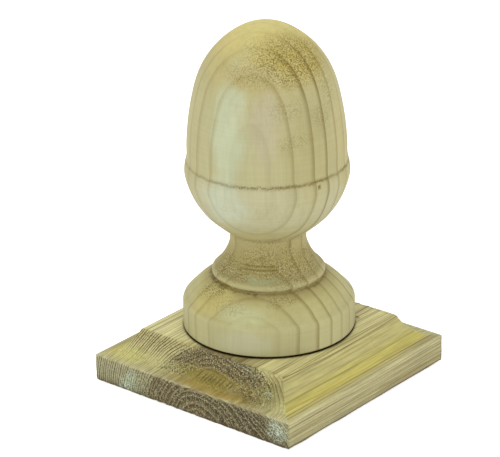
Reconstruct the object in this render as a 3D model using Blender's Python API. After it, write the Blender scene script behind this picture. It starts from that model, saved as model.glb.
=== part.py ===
"""Acorn fence post cap: a moulded square base plate, a turned acorn finial, and the screw that joins them.

Run it with blender --background --python part.py, or from Blender's text editor.
Units are metres and +Z is up. The origin is the centre of the plate's underside, which sits on the post.
"""

import math

import bmesh
import bpy

MM = 0.001
GAP = 0.3 * MM  # clearance that touching pieces keep

# Base plate: a square board with a hollow moulding worked on all four edges
PLATE_WIDTH = 100 * MM
PLATE_HEIGHT = 22 * MM
EDGE_HEIGHT = 11.8 * MM  # the square lower edge, up to its narrow ledge
LEDGE_WIDTH = 5 * MM
LEDGE_RISE = 0.6 * MM
RAISED_WIDTH = 73.4 * MM  # the flat top inside the moulding
COVE_SAGITTA = 1.05 * MM
ARRIS = 0.4 * MM  # small eased edges
OVERCUT = 1 * MM  # how far a cutter reaches past the face that it cuts

# Acorn finial, turned from one blank. Heights are above the plate's underside.
FOOT_RADIUS = 34.8 * MM
FOOT_TOP = 32.1 * MM
FOOT_ROUNDING = 0.6 * MM
SHOULDER_START = (33.0 * MM, 35.7 * MM)
SHOULDER_END = (23.1 * MM, 44.2 * MM)
SHOULDER_BULGE = 0.6 * MM
QUIRK_RADIUS = 22.3 * MM  # the narrow groove under the bead
QUIRK_RISE = 0.1 * MM
BEAD_START = 44.9 * MM
BEAD_END = 47.2 * MM
BEAD_PROUD = 0.55 * MM
FLARE_HOLLOW = 1.0 * MM
NECK_RADIUS = 15.5 * MM
NECK_LOW = 58.6 * MM
NECK_HIGH = 63.0 * MM
CUP_KNEE = (24.6 * MM, 70.9 * MM)
KNEE_BULGE = 0.2 * MM
CUP_RADIUS = 32.9 * MM
CUP_WIDEST = 88.0 * MM
CUP_BULGE = 1.35 * MM
RIM_RADIUS = 32.4 * MM
RIM_TOP = 92.8 * MM
RIM_BULGE = 0.2 * MM
DOME_RADIUS = 31.9 * MM
DOME_BASE = 95.2 * MM
DOME_ARCS = ((0, 14.65, 116.0 * MM), (14.65, 60, 35.8 * MM), (60, 90, 24.0 * MM))

# Countersunk wood screw, driven up through the plate into the finial
SCREW_LENGTH = 60 * MM
HEAD_RADIUS = 4.8 * MM
SHANK_RADIUS = 1.8 * MM
THREAD_RADIUS = 2.5 * MM
ROOT_RADIUS = 1.6 * MM
THREAD_PITCH = 3.0 * MM
THREAD_LENGTH = 36 * MM
THREAD_GAP = 0.4 * MM  # plain shank left below the thread's first ring
CREST_SHARE = 0.3  # half of a crest's width, as a share of the pitch
TIP_LENGTH = 6 * MM
TIP_BLUNTNESS = 0.08
RECESS_DEPTH = 2.2 * MM
RECESS_REACH = 2.4 * MM
RECESS_WEB = 0.55 * MM
RECESS_TAPER = ((-OVERCUT, 1.15), (GAP, 1.0), (GAP + RECESS_DEPTH, 0.35))  # (height, share of its size)

TURNED_STEPS = 48
HOLE_STEPS = 32
THREAD_SIDES = 16
THREAD_RINGS_PER_TURN = 6
ARC_STEP = 5 * MM  # longest facet along a gentle arc

MATERIALS = {
    "plate_pine": {"color": (0.46, 0.36, 0.14, 1), "roughness": 0.8, "metallic": 0.0},
    "turned_pine": {"color": (0.52, 0.46, 0.21, 1), "roughness": 0.6, "metallic": 0.0},
    "zinc_steel": {"color": (0.60, 0.60, 0.58, 1), "roughness": 0.35, "metallic": 1.0},
}


# ---------- outlines, as (radius, height) points ----------


def bow(start, end, sagitta, steps):
    """Points after start, up to end, on an arc that stands sagitta off the chord.

    Going up an outline, a positive sagitta bulges away from the axis and a negative one hollows it.
    """
    run = end[0] - start[0]
    rise = end[1] - start[1]
    chord = math.hypot(run, rise)
    radius = (chord**2 / 4 + sagitta**2) / (2 * abs(sagitta))
    half_angle = math.asin(chord / 2 / radius)
    side = math.copysign(1, sagitta)
    points = []
    for i in range(1, steps + 1):
        angle = half_angle * (2 * i / steps - 1)
        along = radius * math.sin(angle) + chord / 2
        off = side * (radius * math.cos(angle) - radius * math.cos(half_angle))
        r = start[0] + (along * run + off * rise) / chord
        z = start[1] + (along * rise - off * run) / chord
        points.append((r, z))
    return points


def lean_in(start, lean_from, lean_to, radius):
    """Points after start on an arc that leans in towards the axis, from one angle in degrees to another."""
    length = radius * math.radians(lean_to - lean_from)
    steps = max(3, math.ceil(length / ARC_STEP))
    first = math.radians(lean_from)
    points = []
    for i in range(1, steps + 1):
        angle = first + math.radians(lean_to - lean_from) * i / steps
        r = start[0] - radius * (math.cos(first) - math.cos(angle))
        z = start[1] + radius * (math.sin(angle) - math.sin(first))
        points.append((r, z))
    return points


def plate_outline():
    """Half width and height of the plate's edge, from the underside up to the flat top."""
    half = PLATE_WIDTH / 2
    raised = RAISED_WIDTH / 2
    ledge_inner = (half - LEDGE_WIDTH, EDGE_HEIGHT + LEDGE_RISE)
    points = [(half - ARRIS, 0), (half, ARRIS)]
    points += [(half, EDGE_HEIGHT - ARRIS), (half - ARRIS, EDGE_HEIGHT), ledge_inner]
    points += bow(ledge_inner, (raised, PLATE_HEIGHT - ARRIS), -COVE_SAGITTA, 7)
    points.append((raised - ARRIS, PLATE_HEIGHT))
    return points


def dome_outline():
    """The acorn's nut, from just above the cup's rim to its crown on the axis."""
    points = [(DOME_RADIUS, DOME_BASE)]
    for lean_from, lean_to, radius in DOME_ARCS:
        points += lean_in(points[-1], lean_from, lean_to, radius)
    crown = points.pop()
    points.append((0, crown[1]))
    return points


def finial_outline():
    """The finial's outer side from its flat foot up to the crown."""
    foot = PLATE_HEIGHT + GAP
    points = [(FOOT_RADIUS - ARRIS, foot), (FOOT_RADIUS, foot + ARRIS), (FOOT_RADIUS, FOOT_TOP)]
    points += bow(points[-1], SHOULDER_START, FOOT_ROUNDING, 4)
    points += bow(points[-1], SHOULDER_END, SHOULDER_BULGE, 4)
    points += [(QUIRK_RADIUS, SHOULDER_END[1] + QUIRK_RISE), (QUIRK_RADIUS, BEAD_START)]
    points += bow(points[-1], (QUIRK_RADIUS, BEAD_END), BEAD_PROUD, 4)
    points += bow(points[-1], (NECK_RADIUS, NECK_LOW), -FLARE_HOLLOW, 5)
    points.append((NECK_RADIUS, NECK_HIGH))
    points += bow(points[-1], CUP_KNEE, KNEE_BULGE, 3)
    points += bow(points[-1], (CUP_RADIUS, CUP_WIDEST), CUP_BULGE, 6)
    points += bow(points[-1], (RIM_RADIUS, RIM_TOP), RIM_BULGE, 3)
    return points + dome_outline()


def pilot_hole_outline():
    """The blind pilot hole in the finial, from its pointed end down to the foot."""
    radius = THREAD_RADIUS + GAP
    depth = SCREW_LENGTH + 2 * GAP
    return [(0, depth + radius), (radius, depth), (radius, PLATE_HEIGHT + GAP)]


# ---------- meshes ----------


def new_object(name, mesh, material):
    obj = bpy.data.objects.new(name, mesh)
    bpy.context.scene.collection.objects.link(obj)
    if material:
        obj.data.materials.append(material)
    return obj


def make_material(name):
    values = MATERIALS[name]
    material = bpy.data.materials.new(name)
    material.use_nodes = True
    shader = material.node_tree.nodes["Principled BSDF"]
    shader.inputs["Base Color"].default_value = values["color"]
    shader.inputs["Roughness"].default_value = values["roughness"]
    shader.inputs["Metallic"].default_value = values["metallic"]
    material.diffuse_color = values["color"]
    return material


def turned(name, outline, steps, material):
    """Turns an outline that runs from the top down its outer side, and shades it smooth."""
    mesh = bpy.data.meshes.new(name)
    vertices = [(r, 0, z) for r, z in outline]
    edges = [(i, i + 1) for i in range(len(outline) - 1)]
    mesh.from_pydata(vertices, edges, [])
    obj = new_object(name, mesh, material)
    spin = obj.modifiers.new("turn", "SCREW")
    spin.axis = "Z"
    spin.steps = steps
    spin.render_steps = steps
    spin.use_merge_vertices = True
    spin.merge_threshold = 0.00001
    spin.use_smooth_shade = True
    return obj


def bridge_rings(bm, rings):
    """Side faces between neighbouring rings that run counter-clockwise from above, lowest ring first."""
    for low, high in zip(rings, rings[1:]):
        count = len(low)
        for i in range(count):
            j = (i + 1) % count
            bm.faces.new((low[i], low[j], high[j], high[i]))


def cutter(name, obj, target):
    """Hides obj and cuts it out of target."""
    obj.hide_render = True
    obj.display_type = "WIRE"
    cut = target.modifiers.new(name, "BOOLEAN")
    cut.operation = "DIFFERENCE"
    cut.solver = "EXACT"
    cut.object = obj


# ---------- pieces ----------


def build_plate(material):
    """The moulded square board, with a countersunk clearance hole from below."""
    bm = bmesh.new()
    rings = []
    for half, height in plate_outline():
        corners = ((-half, -half), (half, -half), (half, half), (-half, half))
        rings.append([bm.verts.new((x, y, height)) for x, y in corners])
    bridge_rings(bm, rings)
    bm.faces.new(reversed(rings[0]))
    bm.faces.new(rings[-1])
    mesh = bpy.data.meshes.new("base_plate")
    bm.to_mesh(mesh)
    bm.free()
    plate = new_object("base_plate", mesh, material)

    hole = THREAD_RADIUS + GAP
    mouth = HEAD_RADIUS + 2 * GAP
    below = -OVERCUT
    above = PLATE_HEIGHT + OVERCUT
    outline = [(0, above), (hole, above), (hole, mouth - hole), (mouth, 0), (mouth, below), (0, below)]
    drill = turned("screw_hole", outline, HOLE_STEPS, None)
    cutter("countersunk hole", drill, plate)
    return plate


def build_finial(material):
    """The acorn and its foot, one turned blank with a blind pilot hole from below."""
    outline = finial_outline()
    outline.reverse()
    pilot = pilot_hole_outline()
    pilot.reverse()
    return turned("acorn_finial", outline + pilot, TURNED_STEPS, material)


def thread_radius(height, angle, thread_start):
    """Radius of the screw's threaded stretch, which tapers to its gimlet point."""
    turn = (height / THREAD_PITCH - angle / math.tau) % 1.0
    crest = max(0.0, 1 - abs(turn - 0.5) / CREST_SHARE)
    start_fade = min(1.0, (height - thread_start) / THREAD_PITCH)
    radius = ROOT_RADIUS + (THREAD_RADIUS - ROOT_RADIUS) * crest * start_fade
    to_tip = (SCREW_LENGTH - height) / TIP_LENGTH
    return radius * min(1.0, max(TIP_BLUNTNESS, to_tip))


def build_screw(material):
    """Wood screw, head down: countersunk head with a cross recess, plain shank, cut thread and point."""
    thread_start = SCREW_LENGTH - THREAD_LENGTH
    head_height = HEAD_RADIUS - SHANK_RADIUS
    plain = [(HEAD_RADIUS, GAP), (HEAD_RADIUS, 2 * GAP), (SHANK_RADIUS, 2 * GAP + head_height)]
    plain.append((SHANK_RADIUS, thread_start - THREAD_GAP))

    bm = bmesh.new()
    angles = [math.tau * i / THREAD_SIDES for i in range(THREAD_SIDES)]
    rings = []
    for radius, height in plain:
        rings.append([bm.verts.new((radius * math.cos(a), radius * math.sin(a), height)) for a in angles])
    step = THREAD_PITCH / THREAD_RINGS_PER_TURN
    for k in range(round(THREAD_LENGTH / step)):
        height = thread_start + k * step
        radii = [thread_radius(height, a, thread_start) for a in angles]
        places = [(r * math.cos(a), r * math.sin(a), height) for r, a in zip(radii, angles)]
        rings.append([bm.verts.new(place) for place in places])
    bridge_rings(bm, rings)
    bm.faces.new(reversed(rings[0]))
    tip = bm.verts.new((0, 0, SCREW_LENGTH))
    for i in range(THREAD_SIDES):
        bm.faces.new((rings[-1][i], rings[-1][(i + 1) % THREAD_SIDES], tip))
    mesh = bpy.data.meshes.new("fixing_screw")
    bm.to_mesh(mesh)
    bm.free()
    mesh.shade_smooth()
    mesh.set_sharp_from_angle(angle=math.radians(35))
    screw = new_object("fixing_screw", mesh, material)
    cutter("cross recess", build_recess(), screw)
    return screw


def build_recess():
    """A tapered cross that cuts the driver recess into the screw's head."""
    bm = bmesh.new()
    rings = []
    for height, scale in RECESS_TAPER:
        reach = RECESS_REACH * scale
        web = RECESS_WEB * (0.5 + 0.5 * scale)
        ring = []
        for quarter in range(4):
            turn = math.radians(90 * quarter)
            for x, y in ((reach, -web), (reach, web), (web, web)):
                across = x * math.cos(turn) - y * math.sin(turn)
                along = x * math.sin(turn) + y * math.cos(turn)
                ring.append(bm.verts.new((across, along, height)))
        rings.append(ring)
    bridge_rings(bm, rings)
    bm.faces.new(reversed(rings[0]))
    bm.faces.new(rings[-1])
    mesh = bpy.data.meshes.new("driver_recess")
    bm.to_mesh(mesh)
    bm.free()
    return new_object("driver_recess", mesh, None)


def main():
    for obj in list(bpy.data.objects):
        bpy.data.objects.remove(obj)
    build_plate(make_material("plate_pine"))
    build_finial(make_material("turned_pine"))
    build_screw(make_material("zinc_steel"))


main()
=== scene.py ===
"""Looks of an acorn fence post cap in pressure-treated pine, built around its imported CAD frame.

Both wooden pieces are dense meshes with real relief. Their growth rings are worked out once, from where the
tree's pith lay, and the same rings shape the relief and colour the material. Working lengths are in mm.
"""

import itertools
import math

import bpy
import numpy as np
from mathutils import Matrix, Vector


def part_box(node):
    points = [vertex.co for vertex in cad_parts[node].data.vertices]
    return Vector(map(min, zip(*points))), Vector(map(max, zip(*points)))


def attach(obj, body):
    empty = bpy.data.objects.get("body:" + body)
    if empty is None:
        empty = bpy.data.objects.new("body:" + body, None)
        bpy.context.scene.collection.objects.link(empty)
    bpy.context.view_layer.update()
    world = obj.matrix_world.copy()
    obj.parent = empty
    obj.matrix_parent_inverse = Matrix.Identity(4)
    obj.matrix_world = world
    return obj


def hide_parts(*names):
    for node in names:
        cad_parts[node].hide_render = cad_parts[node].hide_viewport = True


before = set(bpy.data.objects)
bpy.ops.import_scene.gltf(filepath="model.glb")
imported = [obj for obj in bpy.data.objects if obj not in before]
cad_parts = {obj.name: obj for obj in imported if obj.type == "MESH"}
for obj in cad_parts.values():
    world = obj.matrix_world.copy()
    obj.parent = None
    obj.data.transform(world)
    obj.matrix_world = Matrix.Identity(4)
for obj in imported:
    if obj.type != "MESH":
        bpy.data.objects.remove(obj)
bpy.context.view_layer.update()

MM = 0.001
LIGHT_LEVEL = 1.42  # how much brighter than its own colour a surface shows
CLEARANCE = 0.3  # the gap between pieces that touch in the real object
SHADE_AND_MARK_LIMIT = 0.8  # the darkest that painted shade in creases and dark marks get; only the painted shadow in the gap under the foot is darker
END_SIDES = (0, 2)  # the plate's sides that show end grain; 1 and 3 are its long sides

# How finely the pieces are meshed: points round them, and mm from row to row
FINIAL_COLUMNS = 300
FINIAL_ROW = 0.78
FINIAL_FINE_ROW = 0.36
FINIAL_FINE_HEIGHTS = ((0, 23), (43, 55), (91, 96))
PLATE_END_COLUMNS = 240
PLATE_LONG_COLUMNS = 84
PLATE_ROW = 0.42
SCREW_COLUMNS = 96
SCREW_ROW = 0.25

# Wood screw and its pilot hole
PILOT_RADIUS = 2.8
SCREW_PITCH = 3.0
THREAD_START = 24
THREAD_ROOT = 1.6
THREAD_CREST = 2.5
SHANK_RADIUS = 1.8
COUNTERSINK = 3.0
POINT_LENGTH = 6
RECESS_DEPTH = 2.2

# Camera, as it stands round the object. Angles are in degrees.
CAMERA_AZIMUTH = 39.502
CAMERA_ELEVATION = 23.878
CAMERA_ROLL = 0.8
CAMERA_DISTANCE = 1.0872
CAMERA_LENS = 195.47
CAMERA_TARGET_HEIGHT = 0.05
FRAMING_RIGHT = -0.00739  # how far the middle of the picture lies from the target, in metres
FRAMING_UP = 0.01176

# Places on the finial are given by their turn, in degrees to the right of the side that faces the camera.
FRONT = CAMERA_AZIMUTH - 90

# Turned blank: its grain runs along Z, and its pith lay in front of it. Rings are (radius, darkness).
TURNED_PITH_TURN = -12.2
TURNED_PITH_DISTANCE = 64.6
TURNED_PITH_LEAN = 0.022  # how much nearer the pith comes for each mm of height
TURNED_NEAR_RINGS = (
    (26.5, 0.1),
    (33, 0.2),
    (39.3, 0.5),
    (47.6, 0.65),
    (54.2, 0.75),
    (60.8, 0.5),
    (67.5, 0.45),
)
TURNED_FAR_RING = 105
TURNED_RING_SPACING = 6.5

# Board: its grain runs along Y, and its pith lies just under it.
BOARD_PITH = (4, -3)
BOARD_SQUASH = 0.72  # rings are this much tighter on the pith's +X side
BOARD_TILT = 0.45  # and they lean over towards its lower edge
BOARD_RING_SPACINGS = ((0, 2.8), (10, 2.0), (20, 1.35), (30, 1.05))
BOARD_LAST_RING = 80
HEARTWOOD_RADIUS = 27.5

# Details of the finial, by height
RIM_HEIGHT = 93.2
BEAD_HEIGHT = 46.5
QUIRK_HEIGHT = 44.5
GROOVES = ((51.2, 0.4), (52.4, 1.0), (53.8, 0.9), (56.0, 0.3))  # height, strength
NECK_HEIGHT = 53
FOOT_GAP_HEIGHT = 22.3
RIM_SPECK = (38, 90.9)  # turn, height

# Where the cutter tore the finial's end grain: turn, height, half width, half height, strength
TORN_PATCHES = (
    (14, 123, 8, 5, 0.4),
    (22, 111, 9, 3, 0.35),
    (44, 118, 6, 6, 0.4),
    (32, 139, 22, 9, 1.0),
    (-10, 136, 17, 6, 0.55),
    (58, 128, 7, 9, 0.5),
    (-62, 51, 8, 5, 1.0),
    (-36, 49.5, 6, 2.5, 0.9),
    (22, 51.5, 13, 5, 1.0),
    (58, 53, 9, 6, 0.9),
    (0, 55, 17, 8, 0.7),
    (10, 64.5, 16, 2, 0.9),
    (-60, 42.4, 8, 3, 1.0),
    (-35, 40, 10, 4, 0.4),
    (10, 42.2, 8, 2, 0.7),
    (170, 139, 18, 9, 0.9),
    (140, 50, 18, 6, 0.9),
    (-140, 51, 12, 5, 0.6),
    (-150, 42, 14, 4, 0.8),
)

# The finial's tones by height, and the patches that differ: turn, height, half width, half height, colour
# The darker tone at 44 is painted shade in the quirk; the darker tones from 48.2 to 54 are end grain with
# painted shade under the flare.
TURNED_TONES = (
    (22, (186, 180, 132)),
    (34, (184, 178, 126)),
    (41, (186, 178, 118)),
    (44, (164, 151, 92)),
    (45.2, (184, 176, 124)),
    (47, (182, 174, 120)),
    (48.2, (162, 151, 96)),
    (54, (166, 154, 94)),
    (60, (174, 162, 104)),
    (66, (182, 172, 117)),
    (76, (188, 183, 142)),
    (91, (190, 185, 144)),
    (95, (185, 179, 132)),
    (120, (184, 179, 133)),
    (136, (190, 178, 118)),
    (144, (208, 194, 122)),
    (150, (218, 205, 130)),
)
TURNED_PATCHES = (
    (-30, 112, 8, 30, (192, 197, 160)),
    (-32, 84, 12, 11, (196, 200, 170)),
    (-2, 116, 7, 16, (188, 179, 143)),
    (34, 108, 16, 26, (179, 170, 118)),
    (72, 105, 10, 34, (186, 176, 122)),
    (-78, 105, 14, 34, (186, 178, 128)),
    (38, 139, 17, 8, (184, 167, 84)),
    (-10, 134, 18, 5, (186, 174, 116)),
    (-12, 48.6, 9, 1.5, (160, 162, 114)),
    (-50, 40, 12, 6, (192, 180, 108)),
    (-20, 38, 12, 4, (190, 190, 140)),
    (-15, 28, 14, 6, (187, 184, 144)),
    (150, 110, 16, 30, (196, 200, 166)),
    (-140, 85, 16, 16, (192, 192, 156)),
)

# Places up the plate's moulding, in mm along its outline from the bottom edge. The CAD's corners are
# stretched to MOULDING_CORNERS: the bottom edge, the edge's top, the ledge's inner end and the cove's top.
MOULDING_CORNERS = (0, 10.5, 15.1, 29.6)
EDGE_TOP = 10.2
LEDGE_END = 15.5
COVE_END = 29.3

# The plate's tones by place up its moulding, on its sawn ends and on its long sides
END_TONES = (
    (-2, (160, 152, 118)),
    (0, (112, 104, 78)),
    (3, (154, 155, 118)),
    (9.5, (164, 162, 122)),
    (11, (206, 199, 146)),
    (14, (200, 195, 134)),
    (18, (201, 197, 132)),
    (23, (198, 190, 128)),
    (28, (198, 189, 126)),
    (32, (232, 223, 156)),
)
SIDE_TONES = (
    (-2, (170, 164, 134)),
    (0, (130, 120, 82)),
    (2, (178, 170, 120)),
    (9.5, (190, 183, 132)),
    (12, (196, 187, 128)),
    (14, (203, 190, 98)),
    (19, (196, 185, 98)),
    (22, (192, 183, 116)),
    (29, (192, 184, 118)),
    (32, (232, 223, 156)),
)
# painted light on the left of the plate's top
PAINTED_TOP_LIGHT = (244, 238, 176)
HEARTWOOD_EDGE = (102, 90, 54)
HEARTWOOD_COVE = (124, 111, 70)
HEARTWOOD_RIGHT = (66, 58, 34)
# pale arris: wear with a painted highlight
WORN_LIT_EDGE = (222, 216, 162)

# Patches on the plate's ends, where side 0 faces -Y and side 2 faces +Y:
# side, x, mm up the moulding, half width, half height, colour
END_PATCHES = (
    (0, 8, 13.2, 25, 3.2, (174, 148, 66)),
    (0, 4, 18.3, 19, 5.6, (152, 135, 38)),
    (0, 24, 17, 9, 4.5, (138, 120, 52)),
    (0, 34, 22, 8, 7, (156, 149, 84)),
    (0, -40, 16, 12, 5, (210, 205, 124)),
    (0, -31, 3.5, 5, 5, (164, 174, 140)),
    (0, 45, 5, 7, 5, (176, 183, 150)),
    (2, -6, 17, 14, 5, (166, 146, 78)),
    (2, 38, 5, 9, 6, (164, 170, 138)),
)
# Copper-green bloom on the ends: side, x, mm up the moulding, half width, half height, strength
BLOOMS = (
    (0, -34, 2, 4, 3, 1.0),
    (0, -31, 6, 3.5, 3.5, 0.5),
    (0, 44, 5.5, 4.5, 4, 1.0),
    (0, 33, 20.5, 2.5, 1.3, 1.0),
    (0, 18, 27.5, 12, 1.2, 0.35),
    (2, 34, 4, 6, 4, 0.8),
)
# Where the cutter tore the ends: side, x, mm up the moulding, half width, half height, strength
END_TEARS = (
    (0, 20, 18.5, 9, 3.5, 0.6),
    (0, -30, 26, 14, 4, 0.5),
    (0, 2, 27, 26, 4, 0.9),
    (0, 8, 17, 15, 4.5, 0.45),
    (0, 30, 14, 9, 3, 0.5),
    (0, 30, 22, 7, 8, 0.6),
    (2, 0, 25, 24, 5, 0.8),
)

# X of the slanting tear marks in the front cove
TEAR_MARKS = (-1.6, 1.2, 2.9, 4.5, 6.4, 8.6, 10.5, 13.4, 15.2)
TEAR_MARK_UP = 18.5

# Dark grain lines along the long sides: mm up the moulding, strength
SIDE_LINES = ((27.6, 0.45), (21.6, 0.25), (18.8, 0.7), (12.2, 0.35), (7.6, 0.3), (4.4, 0.25))

# X and Y of the dark specks on the plate's top
TOP_SPECKS = ((25.2, 25.4), (26.3, 24.6))

# Colours that both woods share
CREAM = (214, 204, 156)
# pale dry fibres with a painted glint
FIBRE_GLINTS = (228, 219, 172)
COPPER_SALTS = (198, 216, 192)
DEEP_SHADOW = (52, 41, 0)


# ---------- small tools ----------


def linear(colour):
    """An sRGB colour from 0 to 255 as the linear values that a shader takes."""
    share = np.asarray(colour, float) / 255
    return np.where(share <= 0.04045, share / 12.92, ((share + 0.055) / 1.055) ** 2.4)


def paint_colour(colour):
    """The reflectance that shows as an sRGB colour under the scene's light."""
    return linear(colour) / LIGHT_LEVEL


def rgba(colour):
    return (*paint_colour(colour), 1.0)


def smooth_step(value, low, high):
    share = np.clip((value - low) / (high - low), 0, 1)
    return share * share * (3 - 2 * share)


def lattice(cell, seed):
    """A repeatable random value from -1 to 1 for each lattice point."""
    mixed = cell @ np.array((374761393, 668265263, 1442695041)) + seed * 144665
    mixed = (mixed ^ (mixed >> 13)) * 1274126177
    mixed = (mixed ^ (mixed >> 16)) * 1103515245
    mixed ^= mixed >> 15
    return (mixed & 0xFFFF) / 0x7FFF - 1.0


def noise(points, size, seed):
    """Smooth noise from -1 to 1 at points in mm. size is its lattice's spacing in mm along X, Y and Z."""
    place = points / np.array(size, float)
    cell = np.floor(place).astype(np.int64)
    fade = place - cell
    fade = fade * fade * (3 - 2 * fade)
    total = np.zeros(points.shape[:-1])
    for corner in itertools.product((0, 1), repeat=3):
        weight = np.prod(np.where(corner, fade, 1 - fade), axis=-1)
        total += weight * lattice(cell + np.array(corner), seed)
    return total


def bell(value, width):
    """1 where value is 0, falling away over about width on both sides."""
    return np.exp(-((value / width) ** 2))


def table_tone(places, table):
    """The tone at each place, between the tones that a table gives for places in rising order."""
    steps = [step for step, _ in table]
    colours = paint_colour([colour for _, colour in table])
    return np.stack([np.interp(places, steps, colours[:, i]) for i in range(3)], axis=-1)


def blend_to(tone, mask, colour):
    return tone + mask[..., None] * (paint_colour(colour) - tone)


def with_alpha(tone):
    return np.concatenate([tone, np.ones(tone.shape[:-1] + (1,))], axis=-1)


def patch(across, height, half_width, half_height):
    """1 in the middle of an oval place, falling softly to 0 at its edge."""
    return 1 - smooth_step(np.hypot(across / half_width, height / half_height), 0.35, 1.25)


# ---------- meshes ----------


def cad_outline(node, least_reach):
    """(reach, height) in mm up a CAD node's outer side, leaving out what lies within least_reach."""
    points = np.array([v.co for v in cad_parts[node].data.vertices]) / MM
    heights = np.round(points[:, 2], 2)
    top = heights.max()
    outline = []
    for height in np.unique(heights):
        reach = np.abs(points[heights == height][:, 0]).max()
        if reach > least_reach or height > top - least_reach:
            outline.append((reach, height))
    return outline


def path_lengths(outline):
    """How far each point of an outline lies along it from its first point."""
    steps = np.hypot(*np.diff(np.array(outline), axis=0).T)
    return np.concatenate([[0], np.cumsum(steps)])


def tangent(own, neighbour):
    """A smooth outline's direction where two chords meet, or the chord's own direction at a crease."""
    crease = math.cos(math.radians(30))
    if own @ neighbour < crease:
        return own
    both = own + neighbour
    return both / np.hypot(*both)


def fine_outline(outline, step_at):
    """The outline with a point every step_at(height) mm, rounded between its creases."""
    corners = np.array(outline, float)
    chords = np.diff(corners, axis=0)
    lengths = np.hypot(chords[:, 0], chords[:, 1])
    units = chords / lengths[:, None]
    fine = [corners[0]]
    for i, length in enumerate(lengths):
        leave = tangent(units[i], units[max(i - 1, 0)]) * length
        arrive = tangent(units[i], units[min(i + 1, len(units) - 1)]) * length
        count = max(1, math.ceil(length / step_at(corners[i][1])))
        for t in np.arange(1, count + 1) / count:
            start_share = (1 + 2 * t) * (1 - t) ** 2
            fine.append(
                corners[i] * start_share
                + corners[i + 1] * (1 - start_share)
                + leave * t * (1 - t) ** 2
                - arrive * t * t * (1 - t)
            )
    return np.array(fine)


def outline_normals(outline):
    """Unit normals that point out of an outline which runs up the outer side."""
    along = np.gradient(outline, axis=0)
    outward = np.stack((along[:, 1], -along[:, 0]), axis=1)
    return outward / np.hypot(outward[:, 0], outward[:, 1])[:, None]


def grid_mesh(name, rings, tips=(), closed=False, facts=None):
    """A mesh through rings of points, each running counter-clockwise seen from above.

    tips are the single points that close the first and the last ring. A closed grid joins its last ring to
    its first instead. facts are values for each vertex of the rings, by attribute name.
    """
    count, columns = rings.shape[:2]
    points = np.concatenate([rings.reshape(-1, 3), np.array(tips, float).reshape(-1, 3)]) * MM
    index = np.arange(count * columns).reshape(count, columns)
    if closed:
        index = np.concatenate([index, index[:1]])
    beside = np.roll(index, -1, axis=1)
    quads = np.stack((index[:-1], beside[:-1], beside[1:], index[1:]), axis=-1).reshape(-1, 4)
    faces = quads.tolist()
    if len(tips):
        first, last = count * columns, count * columns + 1
        faces += [(a, first, b) for a, b in zip(beside[0], index[0])]
        faces += [(a, b, last) for a, b in zip(index[-1], beside[-1])]
    mesh = bpy.data.meshes.new(name)
    mesh.from_pydata(points, [], faces)
    for key, values in (facts or {}).items():
        add_attribute(mesh, key, values)
    mesh.shade_smooth()
    obj = bpy.data.objects.new(name, mesh)
    bpy.context.scene.collection.objects.link(obj)
    return obj


def add_attribute(mesh, key, values):
    """Stores one number or one colour for each vertex. Tips take the last vertex's value."""
    colour = values.ndim == 3
    flat = values.reshape(-1, 4) if colour else values.reshape(-1, 1)
    missing = len(mesh.vertices) - len(flat)
    flat = np.concatenate([flat, np.repeat(flat[-1:], missing, axis=0)])
    attribute = mesh.attributes.new(key, "FLOAT_COLOR" if colour else "FLOAT", "POINT")
    attribute.data.foreach_set("color" if colour else "value", flat.astype(np.float32).ravel())


def sink(rings, outward, depth):
    """Moves each point of the rings into the piece by depth mm, against its outward unit normal."""
    return rings - outward * depth[..., None]


# ---------- growth rings ----------


def turned_rings():
    """(radius, darkness) of each dark line in the turned blank, from the pith outwards."""
    rings = [(0, 0.4), *TURNED_NEAR_RINGS]
    while rings[-1][0] < TURNED_FAR_RING:
        darkness = 0.5 + 0.25 * math.sin(2.4 * len(rings))
        rings.append((rings[-1][0] + TURNED_RING_SPACING, darkness))
    return rings


def board_rings():
    """(radius, darkness) of each dark line in the board, from the pith outwards."""
    rings = [(0, 0.3)]
    while rings[-1][0] < BOARD_LAST_RING:
        radius = rings[-1][0]
        spacing = [width for start, width in BOARD_RING_SPACINGS if radius >= start][-1]
        darkness = 0.6 + 0.3 * math.sin(2.4 * len(rings)) + 0.1 * math.sin(5.1 * len(rings))
        spacing = spacing * (1 + 0.25 * math.sin(1.9 * len(rings)))
        rings.append((radius + spacing, darkness))
    return rings


def turned_pith_distance(points):
    """Distance from the turned blank's pith, with the slow wander that real rings have."""
    turn = math.radians(FRONT + TURNED_PITH_TURN)
    toward = points[..., 0] * math.cos(turn) + points[..., 1] * math.sin(turn)
    across = points[..., 1] * math.cos(turn) - points[..., 0] * math.sin(turn)
    pith = TURNED_PITH_DISTANCE - TURNED_PITH_LEAN * points[..., 2]
    wander = 0.45 * noise(points, (14, 14, 60), 1) + 0.15 * noise(points, (4, 4, 22), 2)
    return np.hypot(pith - toward, across) + wander


def board_pith_distance(points):
    """Distance from the board's pith, with rings squashed on one side and a slow wander."""
    height = points[..., 2]
    across = points[..., 0] - BOARD_PITH[0]
    lean = BOARD_TILT * np.maximum(13 - height, 0) * smooth_step(across, 18, 40)
    across = np.where(across > 0, across * BOARD_SQUASH, across)
    wander = 0.7 * noise(points, (13, 90, 11), 3) + 0.32 * noise(points, (4, 40, 3.5), 4)
    return np.hypot(across, height - BOARD_PITH[1]) - lean + wander


def dark_line(distance, rings):
    """How much of the dense dark latewood there is at a distance from the pith, from 0 to 1."""
    radii, darkness = np.array(rings).T
    share = np.interp(distance, radii, np.arange(len(rings))) % 1
    line = smooth_step(share, 0.6, 0.95) * (1 - smooth_step(share, 0.96, 1))
    return line * np.interp(distance, radii, darkness)


# ---------- acorn finial ----------


def finial_step(height):
    """Rows lie close together where there is fine detail."""
    fine = any(low < height < high for low, high in FINIAL_FINE_HEIGHTS)
    return FINIAL_FINE_ROW if fine else FINIAL_ROW


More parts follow.
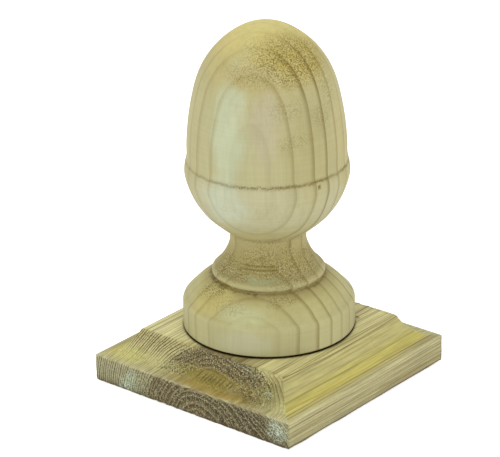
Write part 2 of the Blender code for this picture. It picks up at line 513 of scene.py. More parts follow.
def turned_outline():
    """(reach, height) from the foot's lower edge up to just below the crown."""
    outline = fine_outline(cad_outline("acorn_finial", 5), finial_step)
    foot_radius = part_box("acorn_finial")[1].x / MM
    outline[:, 0] = np.clip(outline[:, 0], 0, foot_radius)
    return outline[:-1]


def crown_height():
    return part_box("acorn_finial")[1].z / MM


def across_from(points, turn):
    """Distance in mm round the finial from a turn."""
    angle = np.arctan2(points[..., 1], points[..., 0]) - math.radians(FRONT + turn)
    wrapped = (angle + math.pi) % math.tau - math.pi
    return wrapped * np.hypot(points[..., 0], points[..., 1])


def patches_on_finial(points, table):
    """A mask for each patch in a table, with ragged edges."""
    ragged = 2.2 * noise(points, (5, 5, 9), 11) + 0.8 * noise(points, (1.7, 1.7, 3), 31)
    for turn, height, half_width, half_height, value in table:
        across = across_from(points, turn) + ragged
        yield patch(across, points[..., 2] - height + 0.6 * ragged, half_width, half_height), value


def finial_tone(points):
    """The wood's colour before its grain is drawn."""
    ragged_height = points[..., 2] + 0.5 * noise(points, (5, 5, 5), 12)
    tone = table_tone(ragged_height, TURNED_TONES)
    for mask, colour in patches_on_finial(points, TURNED_PATCHES):
        tone = blend_to(tone, mask, colour)
    cloud = 0.04 * noise(points, (9, 9, 30), 13) + 0.03 * noise(points, (3, 3, 9), 32)
    return with_alpha(tone * (1 + cloud[..., None]))


def finial_torn(points):
    """Where the cutter tore the end grain, from 0 to 1."""
    torn = np.zeros(points.shape[:-1])
    for mask, strength in patches_on_finial(points, TORN_PATCHES):
        torn = np.maximum(torn, mask * strength)
    height = points[..., 2]
    rim = 0.9 * bell(height - RIM_HEIGHT, 0.8) * patch(across_from(points, 8), 0, 28, 1)
    bead = 0.5 * bell(height - BEAD_HEIGHT, 1.5) * patch(across_from(points, 30), 0, 18, 1)
    return np.maximum.reduce([torn, bead, rim])


def finial_crevices(points):
    """Dark thin lines: painted shade under the cup's rim, in the quirk under the bead and in the grooves, a
    dark speck, and painted shadow in the foot's gap.
    """
    height = points[..., 2]
    ragged = 0.3 * noise(points, (1.8, 1.8, 40), 14) + 0.35 * noise(points, (0.8, 0.8, 40), 15)
    strength = 0.7 + 0.3 * noise(points, (3, 3, 40), 16)
    right = smooth_step(across_from(points, 0), -20, 20)
    # painted shade under the cup's rim, stronger to the right
    rim = bell(height + ragged - RIM_HEIGHT, 0.55) * strength * (0.55 + 0.3 * right)
    # painted shade in the quirk under the bead, stronger to the left
    quirk = bell(height + 0.9 * ragged - QUIRK_HEIGHT, 0.45) * strength * (1.0 - 0.45 * right)
    turn, speck_height = RIM_SPECK
    speck = patch(across_from(points, turn), height - speck_height, 0.7, 1.1)
    darkening = np.maximum.reduce([rim, quirk, finial_grooves(points), speck])
    # painted shadow in the gap under the foot
    gap = 1 - smooth_step(height, FOOT_GAP_HEIGHT, FOOT_GAP_HEIGHT + 0.6)
    return np.maximum(np.minimum(darkening, SHADE_AND_MARK_LIMIT), gap)


def finial_grooves(points):
    """Painted shade in the turning grooves round the neck's front, from 0 to 1."""
    sway = 0.3 * noise(points, (6, 6, 40), 33)
    extent = patch(across_from(points, -12) + 6 * sway, 0, 10, 1)
    lines = [strength * bell(points[..., 2] + sway - height, 0.27) for height, strength in GROOVES]
    return 0.75 * extent * np.maximum.reduce(lines)


def finial_ring_strength(points):
    """How clearly the dark lines show: weaker on the left, on the crown and round the neck's front."""
    right = 0.55 + 0.45 * smooth_step(across_from(points, 0), -10, 22)
    behind = smooth_step(np.abs(across_from(points, 0)), 50, 75)
    right = right + behind * (0.8 - right)
    crown = 1 - 0.65 * smooth_step(points[..., 2], 137, 147)
    neck = 1 - 0.6 * patch(across_from(points, -15), points[..., 2] - NECK_HEIGHT, 16, 10)
    patchy = 0.85 + 0.35 * noise(points, (11, 11, 26), 34)
    torn_top = 0.6 * patch(across_from(points, 38), points[..., 2] - 137, 15, 10)
    return np.clip(right * crown * neck * patchy + torn_top, 0, 1.3)


def finial_depth(points, lines, torn, crevice):
    """How far each point of the finial lies under the smooth turned form."""
    height = points[..., 2]
    away_from_crown = smooth_step(crown_height() - height, 0, 6)
    rows = 0.5 + 0.5 * noise(points * np.array((0, 0, 1)), (1, 1, 0.8), 17)
    marks = rows * (0.006 + 0.06 * patch(0, height - NECK_HEIGHT, 1, 8))
    rough = torn * (0.04 + 0.16 * (0.5 + 0.5 * noise(points, (0.9, 0.9, 0.9), 18)))
    worn = 0.1 * (0.5 + 0.5 * noise(points, (17, 17, 17), 19))
    depth = 0.05 * (1 - lines) + marks + rough + worn + 0.34 * crevice
    return depth * away_from_crown


def spun(outline):
    """Rings of points: each (x, z) of an outline turned round Z."""
    angles = np.arange(FINIAL_COLUMNS) / FINIAL_COLUMNS * math.tau
    across, up = (np.array(outline, float)[:, i, None] for i in range(2))
    return np.stack((across * np.cos(angles), across * np.sin(angles), up + 0 * angles), axis=-1)


def pilot_hole(foot):
    """(reach, height) from the hole's end down to the foot's underside and out across it."""
    hole_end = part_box("fixing_screw")[1].z / MM + CLEARANCE
    return ((PILOT_RADIUS, hole_end), (PILOT_RADIUS, foot), (12, foot), (24, foot), (31, foot))


def build_finial():
    outline = turned_outline()
    hole = pilot_hole(outline[0][1])
    bore, side = spun(hole), spun(outline)
    points = np.concatenate([bore, side])
    distance = turned_pith_distance(points)
    lines = dark_line(distance, turned_rings())
    torn = finial_torn(points)
    crevice = finial_crevices(points)
    depth = finial_depth(points, lines, torn, crevice)[len(bore):]
    facts = {
        "ring": distance,
        "ring_strength": finial_ring_strength(points),
        "ring_sharpness": np.ones(distance.shape),
        "streaks": np.ones(distance.shape),
        "torn": torn,
        "crevice": crevice,
        "tone": finial_tone(points),
    }
    rings = np.concatenate([bore, sink(side, spun(outline_normals(outline)), depth)])
    tips = ((0, 0, hole[0][1] + PILOT_RADIUS), (0, 0, crown_height()))
    finial = grid_mesh("acorn_finial_turned", rings, tips=tips, facts=facts)
    finial.data.materials.append(turned_pine())
    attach(finial, "root")
    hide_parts("acorn_finial")


# ---------- base plate ----------


def underside_rows(mouth, bottom_edge):
    """Rows from the screw hole's countersink out across the underside, from round to square."""
    rows = [(PILOT_RADIUS, mouth - PILOT_RADIUS, 1.0), (mouth, 0.0, 1.0)]
    for share in np.linspace(0, 1, 28)[1:-1]:
        reach = mouth + (bottom_edge - mouth) * share**0.75
        rows.append((reach, 0.0, 1 - smooth_step(reach, mouth, 20)))
    return rows


def top_rows(rim, top):
    """Rows from the moulding's rim in over the flat top and down the screw hole, from square to round."""
    rows = [(reach, top, 0.0) for reach in np.linspace(rim, 24, 26)[1:]]
    for reach in (19, 14, 9, 5, PILOT_RADIUS):
        rows.append((reach, top, 1 - smooth_step(reach, PILOT_RADIUS, 22)))
    rows.append((PILOT_RADIUS, top / 2, 1.0))
    return rows


def plate_rows():
    """(reach, height, roundness) across the underside, up the moulding and over the top."""
    outline = fine_outline(cad_outline("base_plate", 10), lambda height: PLATE_ROW)
    outline[:, 0] = np.minimum(outline[:, 0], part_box("base_plate")[1].x / MM)
    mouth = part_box("fixing_screw")[1].x / MM + 2 * CLEARANCE
    rows = underside_rows(mouth, outline[0][0])
    rows += [(reach, height, 0.0) for reach, height in outline]
    return np.array(rows + top_rows(*outline[-1]))


def square_columns():
    """Unit places round a square, counter-clockwise from its -X -Y corner, and each one's side number."""
    corners = ((-1, -1), (1, -1), (1, 1), (-1, 1), (-1, -1))
    places, sides = [], []
    for side in range(4):
        count = PLATE_END_COLUMNS if side in END_SIDES else PLATE_LONG_COLUMNS
        for share in np.arange(count) / count:
            places.append([a + (b - a) * share for a, b in zip(corners[side], corners[side + 1])])
            sides.append(side)
    return np.array(places), np.array(sides)


class PlateGrid:
    """The plate's smooth form: points, outward normals, mm up the moulding, and where end grain shows."""

    def __init__(self):
        rows = plate_rows()
        places, self.sides = square_columns()
        circle = places / np.hypot(places[:, 0], places[:, 1])[:, None]
        reach, height, roundness = (rows[:, None, i] for i in range(3))
        self.points = np.zeros((len(rows), len(places), 3))
        for axis in (0, 1):
            unit = places[None, :, axis] * (1 - roundness) + circle[None, :, axis] * roundness
            self.points[..., axis] = unit * reach
        self.points[..., 2] = height
        self.outward = self.normals(rows, places)
        self.up = self.up_moulding(rows)
        self.end = np.isin(self.sides, END_SIDES)[None, :] & (self.up > -1.5) & (self.up < COVE_END + 0.5)
        self.on_top = self.up > COVE_END + 0.4
        self.clear_of_screw = (rows[:, 0] > 6)[:, None]

    def normals(self, rows, places):
        flat = outline_normals(np.vstack([rows[:, :2], rows[:1, :2]]))[:-1]
        outward = np.zeros_like(self.points)
        outward[..., 0] = np.where(self.sides % 2 == 1, np.sign(places[:, 0]), 0) * flat[:, None, 0]
        outward[..., 1] = np.where(self.sides % 2 == 0, np.sign(places[:, 1]), 0) * flat[:, None, 0]
        outward[..., 2] = flat[:, None, 1]
        return outward

    def up_moulding(self, rows):
        """mm up the moulding, stretched so that the plate's corners lie where the tables have them."""
        bottom = int(np.argmax(rows[:, 0] > rows[:, 0].max() - 0.001))
        up = path_lengths(rows[:, :2])
        up = up - up[bottom]
        corners = path_lengths(cad_outline("base_plate", 10)[1:])[[0, 2, 3, -1]]
        stretched = np.interp(up, corners, MOULDING_CORNERS)
        stretched += np.minimum(up, 0) + np.maximum(up - corners[-1], 0)
        return stretched[:, None] + np.zeros(len(self.sides))

    def patches(self, table):
        """A ragged mask, and the last value, for each patch of a table on the ends."""
        ragged = 1.2 * noise(self.points, (2.5, 2.5, 2.5), 22)
        ragged += 0.5 * noise(self.points, (0.9, 0.9, 0.9), 35)
        for side, x, up, half_width, half_height, value in table:
            here = (self.sides == side)[None, :] & self.end
            across = self.points[..., 0] - x + ragged
            yield here * patch(across, self.up - up + ragged, half_width, half_height), value


def plate_heartwood(grid, distance):
    """How much of the dark heartwood shows, from 0 to 1."""
    wobble = 1.2 * noise(grid.points, (3, 30, 3), 21)
    heart = 1 - smooth_step(distance + wobble, HEARTWOOD_RADIUS - 1.5, HEARTWOOD_RADIUS + 1.5)
    low_cove = smooth_step(grid.up, EDGE_TOP, EDGE_TOP + 1) * (1 - smooth_step(grid.up, 19, 23))
    faded = np.where(grid.end, 1 - 0.8 * low_cove, 0.35)
    front_top = grid.on_top & (grid.points[..., 1] < -28)
    return heart * np.where(front_top, 0.8, faded)


def plate_tone(grid, heart):
    """The board's colour before its grain is drawn."""
    tone = np.where(grid.end[..., None], table_tone(grid.up, END_TONES), table_tone(grid.up, SIDE_TONES))
    # painted light: the left of the top paler
    lit_left_top = grid.on_top * (1 - smooth_step(grid.points[..., 0], -34, 0))
    tone = blend_to(tone, 0.7 * lit_left_top, PAINTED_TOP_LIGHT)
    tone = blend_to(tone, heart * (grid.up < EDGE_TOP), HEARTWOOD_EDGE)
    tone = blend_to(tone, heart * (grid.up >= EDGE_TOP), HEARTWOOD_COVE)
    for mask, colour in grid.patches(END_PATCHES):
        tone = blend_to(tone, 0.9 * mask, colour)
    # the worn arris, with a painted highlight along it
    tone = blend_to(tone, worn_lit_arris(grid), WORN_LIT_EDGE)
    front_edge = (grid.sides == 0)[None, :] * (grid.up < EDGE_TOP - 1)
    low_right = front_edge * smooth_step(grid.points[..., 0], 4, 24)
    tone = blend_to(tone, 0.5 * low_right * heart, HEARTWOOD_RIGHT)
    cloud = 0.05 * noise(grid.points, (9, 40, 9), 23) + 0.03 * noise(grid.points, (2.2, 14, 2.2), 38)
    return with_alpha(tone * (1 + cloud[..., None]))


def worn_lit_arris(grid):
    """Where the arris between the edge and the ledge shows pale, from wear and from a painted highlight,
    from 0 to 1.
    """
    line = bell(grid.up - EDGE_TOP + 0.35 * noise(grid.points, (1.3, 9, 1.3), 36), 0.5)
    return line * np.where(grid.end, 0.75, 0.4) * (0.7 + 0.4 * noise(grid.points, (3, 8, 3), 37))


def plate_torn(grid, distance):
    """Rough places, from 0 to 1: the sawn edges and the torn arch in the cove."""
    edge = smooth_step(grid.up, -0.6, 0.3) * (1 - smooth_step(grid.up, EDGE_TOP - 1.0, EDGE_TOP - 0.2))
    x = grid.points[..., 0]
    arch = smooth_step(distance, 18.5, 21) * (1 - smooth_step(distance, 28, 31)) * (grid.up > LEDGE_END)
    arch = arch * (1 - 0.7 * smooth_step(x, 32, 37))
    edge_end = edge * (0.35 + 0.4 * smooth_step(x, -38, -24))
    torn = np.where(grid.end, np.maximum(edge_end, arch), 0.15 * edge)
    for mask, strength in grid.patches(END_TEARS):
        torn = np.maximum(torn, mask * strength)
    return torn


def long_cove(grid):
    """1 in the coves of the long sides, 0 on their ledges and edges and on the top."""
    return smooth_step(grid.up, LEDGE_END - 2, LEDGE_END + 2) * (1 - smooth_step(grid.up, 25, COVE_END))


def plate_ring_strength(grid):
    """How clearly the dark lines show: strongest on the upper cove's left, faint on the ledge."""
    x = grid.points[..., 0]
    high = smooth_step(grid.up, 17, 25)
    left = 1 - smooth_step(x, -22, -8)
    right = smooth_step(x, 30, 36)
    on_cove = 0.25 + 0.45 * left + 0.5 * high + 0.9 * high * left + 0.2 * right
    on_end = np.where(grid.up < EDGE_TOP, 1.6 - 0.6 * smooth_step(x, -36, -24), on_cove)
    along = (1 - 0.6 * long_cove(grid)) * (0.75 + 0.3 * noise(grid.points, (5, 60, 5), 39))
    return np.where(grid.end, on_end, along)


def plate_streaks(grid):
    """How many fine dark grain lines show: few in the long coves, some on the ends, many elsewhere."""
    return np.where(grid.end, 0.5, 1 - 0.8 * long_cove(grid))


def tear_marks(grid):
    """Short slanting dark marks in the front cove, from 0 to 1."""
    above = grid.up - TEAR_MARK_UP
    across = grid.points[..., 0] - 0.35 * above
    marks = [bell(across - place, 0.38) for place in TEAR_MARKS]
    front = (grid.sides == 0)[None, :] & grid.end
    return 0.8 * front * patch(0, above, 1, 2.4) * np.maximum.reduce(marks)


def side_lines(grid):
    """Dark grain lines along the long sides, from 0 to 1."""
    place = grid.up + 0.5 * noise(grid.points, (40, 40, 40), 41)
    lines = [strength * bell(place - up, 0.28) for up, strength in SIDE_LINES]
    uneven = 0.8 + 0.4 * noise(grid.points, (9, 9, 9), 42)
    return (grid.sides % 2 == 1)[None, :] * uneven * np.maximum.reduce(lines)


def plate_crevices(grid):
    """Darkening along the ragged bottom edge, dark marks, lines and specks, and painted shadow in the gap
    under the foot.
    """
    x, y = grid.points[..., 0], grid.points[..., 1]
    ragged = 0.6 * noise(grid.points, (3, 30, 3), 21)
    # darker along the ragged bottom edge
    bottom = bell(grid.up + ragged, 0.8) * np.where(grid.end, 0.9, 0.45)
    bottom = bottom * (0.6 + 0.4 * noise(grid.points, (2.2, 6, 2.2), 24))
    specks = [patch(x - speck_x, y - speck_y, 0.6, 0.8) * grid.on_top for speck_x, speck_y in TOP_SPECKS]
    darkening = np.maximum.reduce([bottom, tear_marks(grid), side_lines(grid), *specks])
    foot_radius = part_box("acorn_finial")[1].x / MM
    # painted shadow in the gap round the foot
    gap = (1 - smooth_step(np.hypot(x, y) - foot_radius, -0.3, 0.6)) * grid.on_top
    return np.maximum(np.clip(darkening, 0, SHADE_AND_MARK_LIMIT), gap)


def plate_depth(grid, lines, torn):
    """How far each point of the plate lies under its smooth form."""
    points = grid.points
    pits = 0.5 + 0.5 * noise(points, (0.9, 0.9, 0.9), 25)
    bottom = bell(grid.up + 0.6 * noise(points, (3, 30, 3), 21), 0.9)
    chips = bottom * (0.5 + 0.5 * noise(points, (1.5, 8, 1.5), 26)) * 0.45
    saw = 0.04 * (0.5 + 0.5 * noise(points, (60, 1.3, 60), 27)) * (grid.up < -0.5)
    grain = 0.06 * (1 - lines) + np.where(grid.end, 0.05, 0.02) * pits
    depth = grain + torn * pits**2 * 0.42 + chips + saw
    return np.where(grid.clear_of_screw, depth, 0)


def build_plate():
    grid = PlateGrid()
    distance = board_pith_distance(grid.points)
    lines = dark_line(distance, board_rings())
    heart = plate_heartwood(grid, distance)
    torn = plate_torn(grid, distance)
    bloom = np.zeros(distance.shape)
    for mask, strength in grid.patches(BLOOMS):
        bloom = np.maximum(bloom, mask * strength)
    facts = {
        "ring": distance,
        "ring_strength": plate_ring_strength(grid),
        "ring_sharpness": np.where(grid.end, 1.0, 5.0),
        "streaks": plate_streaks(grid),
        "torn": torn,
        "crevice": plate_crevices(grid),
        "bloom": bloom,
        "tone": plate_tone(grid, heart),
    }
    rings = sink(grid.points, grid.outward, plate_depth(grid, lines, torn))
    plate = grid_mesh("base_plate_moulded", rings, closed=True, facts=facts)
    plate.data.materials.append(board_pine())
    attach(plate, "root")
    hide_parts("base_plate")


# ---------- materials ----------


class Paint:
    """Builds a material's nodes. Inputs are numbers, colours or sockets, and each step returns a socket."""

    def __init__(self, name):
        self.material = bpy.data.materials.new(name)
        self.material.use_nodes = True
        self.tree = self.material.node_tree
        self.shader = self.tree.nodes["Principled BSDF"]
        coordinates = self.tree.nodes.new("ShaderNodeTexCoord")
        self.place = self.vector("MULTIPLY", coordinates.outputs["Object"], (1 / MM, 1 / MM, 1 / MM))

    def feed(self, socket, value):
        if isinstance(value, bpy.types.NodeSocket):
            self.tree.links.new(value, socket)
        else:
            socket.default_value = value

    def math(self, operation, *values, clamp=False):
        node = self.tree.nodes.new("ShaderNodeMath")
        node.operation = operation
        node.use_clamp = clamp
        for socket, value in zip(node.inputs, values):
            self.feed(socket, value)
        return node.outputs[0]

    def vector(self, operation, first, second):
        node = self.tree.nodes.new("ShaderNodeVectorMath")
        node.operation = operation
        self.feed(node.inputs[0], first)
        self.feed(node.inputs[1], second)
        return node.outputs[0]

    def attribute(self, name, output="Fac"):
        node = self.tree.nodes.new("ShaderNodeAttribute")
        node.attribute_name = name
        return node.outputs[output]

    def noise(self, size, detail=2.0, shift=0.0):
        """Noise from 0 to 1 whose grains are about size mm along X, Y and Z."""
        scaled = self.vector("MULTIPLY", self.place, tuple(1 / length for length in size))
        moved = self.vector("ADD", scaled, (shift, shift, shift))
        node = self.tree.nodes.new("ShaderNodeTexNoise")
        node.inputs["Scale"].default_value = 1.0
        node.inputs["Detail"].default_value = detail
        self.feed(node.inputs["Vector"], moved)
        return node.outputs[0]

    def step(self, value, low, high, to_low=0.0, to_high=1.0):
        """Goes smoothly from to_low to to_high as value goes from low to high."""
        node = self.tree.nodes.new("ShaderNodeMapRange")
        node.interpolation_type = "SMOOTHSTEP"
        self.feed(node.inputs["Value"], value)
        limits = {"From Min": low, "From Max": high, "To Min": to_low, "To Max": to_high}
        for name, number in limits.items():
            self.feed(node.inputs[name], number)
        return node.outputs[0]

    def mix(self, share, first, second, blend="MIX"):
        node = self.tree.nodes.new("ShaderNodeMix")
        node.data_type = "RGBA"
        node.blend_type = blend
        colour_inputs = [socket for socket in node.inputs if socket.type == "RGBA"]
        self.feed(node.inputs[0], share)
        self.feed(colour_inputs[0], first)
        self.feed(colour_inputs[1], second)
        return next(socket for socket in node.outputs if socket.type == "RGBA")

    def curve(self, value, points):
        """A straight-line curve through points, for values from 0 to 1."""
        node = self.tree.nodes.new("ShaderNodeFloatCurve")
        line = node.mapping.curves[0]
        for _ in range(len(points) - 2):
            line.points.new(0.5, 0.5)
        for point, (x, y) in zip(line.points, points):
            point.location = (x, y)
            point.handle_type = "VECTOR"
        node.mapping.update()
        self.feed(node.inputs["Value"], value)
        return node.outputs[0]

    def grey(self, value):
        """A number as a grey colour, to multiply with."""
        node = self.tree.nodes.new("ShaderNodeCombineColor")
        for socket in node.inputs:
            self.feed(socket, value)
        return node.outputs[0]


def ring_lines(paint, rings, line_start):
    """Masks for the dark latewood lines, sharp on their outer side, and for the pale wood past them."""
    reach = rings[-1][0]
    count = len(rings) - 1
    distance = paint.math("DIVIDE", paint.attribute("ring"), reach)
    number = paint.curve(distance, [(radius / reach, i / count) for i, (radius, _) in enumerate(rings)])
    share = paint.math("FRACT", paint.math("MULTIPLY", number, count))
    darkness = paint.curve(distance, [(radius / reach, dark) for radius, dark in rings])
    darkness = paint.math("MULTIPLY", darkness, paint.attribute("ring_strength"))
    rise = paint.math("POWER", paint.step(share, line_start, 0.95), paint.attribute("ring_sharpness"))
    fall = paint.step(share, 0.965, 1.0, 1.0, 0.0)
    dark = paint.math("MULTIPLY", paint.math("MULTIPLY", rise, fall), darkness, clamp=True)
    pale = paint.math("MULTIPLY", paint.step(share, 0.0, 0.1), paint.step(share, 0.15, 0.5, 1.0, 0.0))
    return dark, pale


def torn_masks(paint, look):
    """Masks for the dark pores of torn grain, for its pale fibres with painted glints, and for the salts of
    copper bloom.
    """
    speckle = paint.noise(look["speckle"], detail=1.5, shift=3.0)
    flecks = paint.noise((0.55, 0.55, 0.55), detail=1.0, shift=11.0)
    torn = paint.attribute("torn")
    pores = paint.math("MULTIPLY", paint.step(speckle, 0.47, 0.6), torn)
    bright = paint.math("MULTIPLY", paint.step(flecks, 0.55, 0.68), torn)
    salts = paint.math("MULTIPLY", paint.step(flecks, 0.48, 0.64), paint.attribute("bloom"))
    return pores, bright, salts


def clean_colour(paint, rings, look, fibres):
    """The wood's tone with its ring lines, fine dark streaks and fibres."""
    dark, pale = ring_lines(paint, rings, look["line_start"])
    colour = paint.attribute("tone", "Color")
    colour = paint.mix(dark, colour, (*linear(look["line"]), 1.0), "MULTIPLY")
    cream = paint.math("MULTIPLY", pale, paint.attribute("ring_strength"))
    cream = paint.math("MULTIPLY", cream, look["pale_share"], clamp=True)
    colour = paint.mix(cream, colour, rgba(CREAM))
    streaks = paint.noise(look["streak"], detail=2.0, shift=7.0)
    fine = paint.math("MULTIPLY", paint.step(streaks, 0.52, 0.64), paint.attribute("streaks"))
    fine = paint.math("MULTIPLY", fine, look["streak_share"])
    colour = paint.mix(fine, colour, rgba(look["streak_colour"]))
    contrast = look["fibre_contrast"]
    marks = paint.noise(look["tool_marks"], detail=1.0, shift=5.0)
    grain = paint.math(
        "ADD",
        paint.step(fibres, 0.3, 0.7, 1 - contrast, 1 + 0.7 * contrast),
        paint.step(marks, 0.3, 0.7, -0.02, 0.02),
    )
    return paint.mix(1.0, colour, paint.grey(grain), "MULTIPLY")


def colour_marks_and_painted_light(paint, colour, look, masks):
    """The wood's colour under its torn grain, its copper bloom, its dark marks and its painted light:
    glints on torn fibres, shade in creases and the shadow in the gap under the foot.
    """
    pores, bright, salts = masks
    colour = paint.mix(paint.math("MULTIPLY", pores, look["pore_share"]), colour, rgba(look["pore"]))
    # pale torn fibres with painted glints
    colour = paint.mix(paint.math("MULTIPLY", bright, look["glint_share"]), colour, rgba(FIBRE_GLINTS))
    colour = paint.mix(salts, colour, rgba(COPPER_SALTS))
    crevice = paint.attribute("crevice")
    # dark marks, and painted shade in the finial's creases
    colour = paint.mix(paint.math("MULTIPLY", crevice, 0.95), colour, rgba(look["crevice"]))
    return paint.mix(paint.step(crevice, SHADE_AND_MARK_LIMIT, 0.9), colour, rgba(DEEP_SHADOW))


def pine(name, rings, look):
    """Treated pine: toned wood with ring lines, fibres, torn grain, copper bloom, dark marks, and painted
    glints, shade and shadow.
    """
    paint = Paint(name)
    fibres = paint.noise(look["fibre"], detail=3.0)
    masks = torn_masks(paint, look)
    colour = clean_colour(paint, rings, look, fibres)
    paint.feed(paint.shader.inputs["Base Color"], colour_marks_and_painted_light(paint, colour, look, masks))

    torn_roughness = paint.math("MULTIPLY", paint.attribute("torn"), 0.15)
    rough = paint.math("ADD", paint.step(fibres, 0.3, 0.7, 0.6, 0.72), torn_roughness)
    paint.feed(paint.shader.inputs["Roughness"], rough)
    paint.shader.inputs["Specular IOR Level"].default_value = 0.3

    bump = paint.tree.nodes.new("ShaderNodeBump")
    bump.inputs["Strength"].default_value = 0.5
    bump.inputs["Distance"].default_value = 0.15 * MM
    relief = paint.math("SUBTRACT", paint.math("MULTIPLY", fibres, 0.4), masks[0])
    paint.feed(bump.inputs["Height"], relief)
    paint.feed(paint.shader.inputs["Normal"], bump.outputs[0])
    return paint.material


def turned_pine():
    look = {
        "fibre": (0.7, 0.7, 16),
        "fibre_contrast": 0.035,
        "streak": (2.2, 2.2, 50),
        "streak_share": 0.12,
        "streak_colour": (160, 148, 100),
        "tool_marks": (24, 24, 0.8),
        "line": (176, 160, 96),
        "line_start": 0.68,
        "pale_share": 0.08,
        "speckle": (0.6, 0.6, 0.6),
        "pore": (114, 98, 34),
        "pore_share": 0.78,
        "glint_share": 0.45,
        "crevice": (104, 83, 8),
    }
    return pine("turned_pine_grain", turned_rings(), look)


def board_pine():
    look = {
        "fibre": (0.45, 14, 0.45),
        "fibre_contrast": 0.2,
        "streak": (1.0, 90, 1.0),
        "streak_share": 0.6,
        "streak_colour": (134, 115, 62),
        "tool_marks": (30, 0.6, 30),
        "line": (112, 90, 42),
        "line_start": 0.45,
        "pale_share": 0.28,
        "speckle": (0.48, 0.48, 0.48),
        "pore": (56, 46, 22),
        "pore_share": 0.82,
        "glint_share": 0.5,
        "crevice": (76, 57, 4),
    }
    return pine("board_pine_grain", board_rings(), look)


def zinc():
    """Bright zinc plating, a little uneven."""
    paint = Paint("zinc_plating")
    cloud = paint.noise((1.5, 1.5, 1.5), detail=3.0)
    paint.shader.inputs["Metallic"].default_value = 1.0
    colour = paint.mix(cloud, rgba((176, 176, 170)), rgba((214, 213, 206)))
    paint.feed(paint.shader.inputs["Base Color"], colour)
    paint.feed(paint.shader.inputs["Roughness"], paint.step(cloud, 0.3, 0.7, 0.28, 0.45))
    return paint.material


# ---------- screw ----------


def screw_radius(height, turn, top):
    """Radius of the plain shank, the threaded stretch and the point."""
    phase = (height / SCREW_PITCH - turn / math.tau) % 1.0
    crest = np.clip(1 - np.abs(phase - 0.5) / 0.3, 0, 1)
    start = smooth_step(height, THREAD_START, THREAD_START + SCREW_PITCH)
    threaded = THREAD_ROOT + (THREAD_CREST - THREAD_ROOT) * crest
    radius = SHANK_RADIUS + (threaded - SHANK_RADIUS) * start
    return radius * np.clip((top - height) / POINT_LENGTH, 0.05, 1)


def recess_depth(reach, turn):
    """How deep the cross recess is, round a ring on the screw's head."""
    x, y = np.abs(reach * np.cos(turn)), np.abs(reach * np.sin(turn))
    arm = 1 - smooth_step(np.minimum(x, y), 0.4, 0.62)
    inside = 1 - smooth_step(np.maximum(x, y), 1.2, 2.4)
    return RECESS_DEPTH * arm * inside


def screw_rows(turn, head, base, top):
    """(reach, height) round each ring: out over the head, up the countersink and along to the point."""
    level = np.ones(SCREW_COLUMNS)
    rows = []
    for reach in np.linspace(0.15, head, 34):
        rows.append((reach * level, base + recess_depth(reach, turn)))
    for share in np.linspace(0, 1, 10)[1:]:
        reach = head + (SHANK_RADIUS - head) * share
        rows.append((reach * level, (base + CLEARANCE + COUNTERSINK * share) * level))
    for height in np.arange(4, top - 0.3, SCREW_ROW):
        rows.append((screw_radius(height, turn, top), height * level))
    return rows


def build_screw():
    low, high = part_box("fixing_screw")
    head, base, top = high.x / MM, low.z / MM, high.z / MM
    turn = np.arange(SCREW_COLUMNS) / SCREW_COLUMNS * math.tau
    rows = screw_rows(turn, head, base, top)
    rings = np.array([np.stack((r * np.cos(turn), r * np.sin(turn), z), axis=-1) for r, z in rows])
    tips = ((0, 0, rings[0][:, 2].max()), (0, 0, top))
    piece = grid_mesh("fixing_screw_zinc", rings, tips=tips)
    piece.data.materials.append(zinc())
    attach(piece, "root")
    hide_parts("fixing_screw")


# ---------- stage ----------


def make_floor():
    """A plain floor, lit a little from within so that it shows as a clean white."""
    size = 3.0
    corners = [(-size, -size, 0), (size, -size, 0), (size, size, 0), (-size, size, 0)]
    mesh = bpy.data.meshes.new("floor")
    mesh.from_pydata(corners, [], [(0, 1, 2, 3)])
    floor = bpy.data.objects.new("floor", mesh)
    bpy.context.scene.collection.objects.link(floor)
    material = bpy.data.materials.new("pale_floor")
    material.use_nodes = True
    shader = material.node_tree.nodes["Principled BSDF"]
    shader.inputs["Base Color"].default_value = (0.92, 0.92, 0.92, 1)
    shader.inputs["Roughness"].default_value = 0.9
    shader.inputs["Emission Color"].default_value = (1, 1, 1, 1)
    shader.inputs["Emission Strength"].default_value = 0.35
    mesh.materials.append(material)


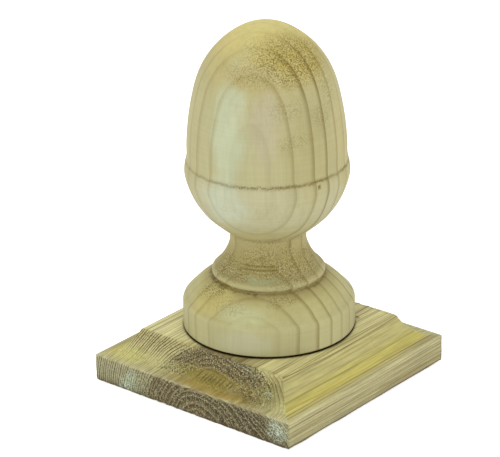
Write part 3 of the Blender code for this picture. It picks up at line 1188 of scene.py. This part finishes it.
def add_softbox(name, location, size, power):
    """A square area light that faces the middle of the object."""
    light = bpy.data.lights.new(name, "AREA")
    light.shape = "SQUARE"
    light.size = size
    light.energy = power
    lamp = bpy.data.objects.new(name, light)
    lamp.location = location
    facing = Vector((0, 0, 0.07)) - Vector(location)
    lamp.rotation_euler = facing.to_track_quat("-Z", "Y").to_euler()
    bpy.context.scene.collection.objects.link(lamp)


def make_light():
    world = bpy.data.worlds.new("studio")
    bpy.context.scene.world = world
    world.use_nodes = True
    background = world.node_tree.nodes["Background"]
    background.inputs["Color"].default_value = (1, 1, 1, 1)
    background.inputs["Strength"].default_value = 1.2
    add_softbox("key", (-0.5, -1.1, 1.1), 0.9, 2.5)
    add_softbox("fill", (1.1, -0.2, 0.8), 0.9, 2.5)


def camera_directions():
    """The directions from the object back to the camera, and to the camera's right and up."""
    azimuth, elevation = math.radians(CAMERA_AZIMUTH), math.radians(CAMERA_ELEVATION)
    level_right = Vector((math.cos(azimuth), math.sin(azimuth), 0))
    level_back = Vector((math.sin(azimuth), -math.cos(azimuth), 0))
    back = level_back * math.cos(elevation) + Vector((0, 0, math.sin(elevation)))
    level_up = back.cross(level_right)
    roll = math.radians(-CAMERA_ROLL)
    right = level_right * math.cos(roll) + level_up * math.sin(roll)
    up = level_up * math.cos(roll) - level_right * math.sin(roll)
    return back, right, up


def make_camera():
    back, right, up = camera_directions()
    target = Vector((0, 0, CAMERA_TARGET_HEIGHT))
    location = target + back * CAMERA_DISTANCE
    aim = target + right * FRAMING_RIGHT + up * FRAMING_UP
    away = (location - aim).normalized()
    side = up.cross(away).normalized()
    turned = Matrix((side, away.cross(side), away)).transposed().to_4x4()
    data = bpy.data.cameras.new("camera")
    data.lens = CAMERA_LENS
    data.clip_start, data.clip_end = 0.05, 20
    camera = bpy.data.objects.new("camera", data)
    bpy.context.scene.collection.objects.link(camera)
    camera.matrix_world = Matrix.Translation(location) @ turned
    bpy.context.scene.camera = camera


def main():
    bpy.context.scene.view_settings.view_transform = "Standard"
    build_finial()
    build_plate()
    build_screw()
    make_floor()
    make_light()
    make_camera()


main()
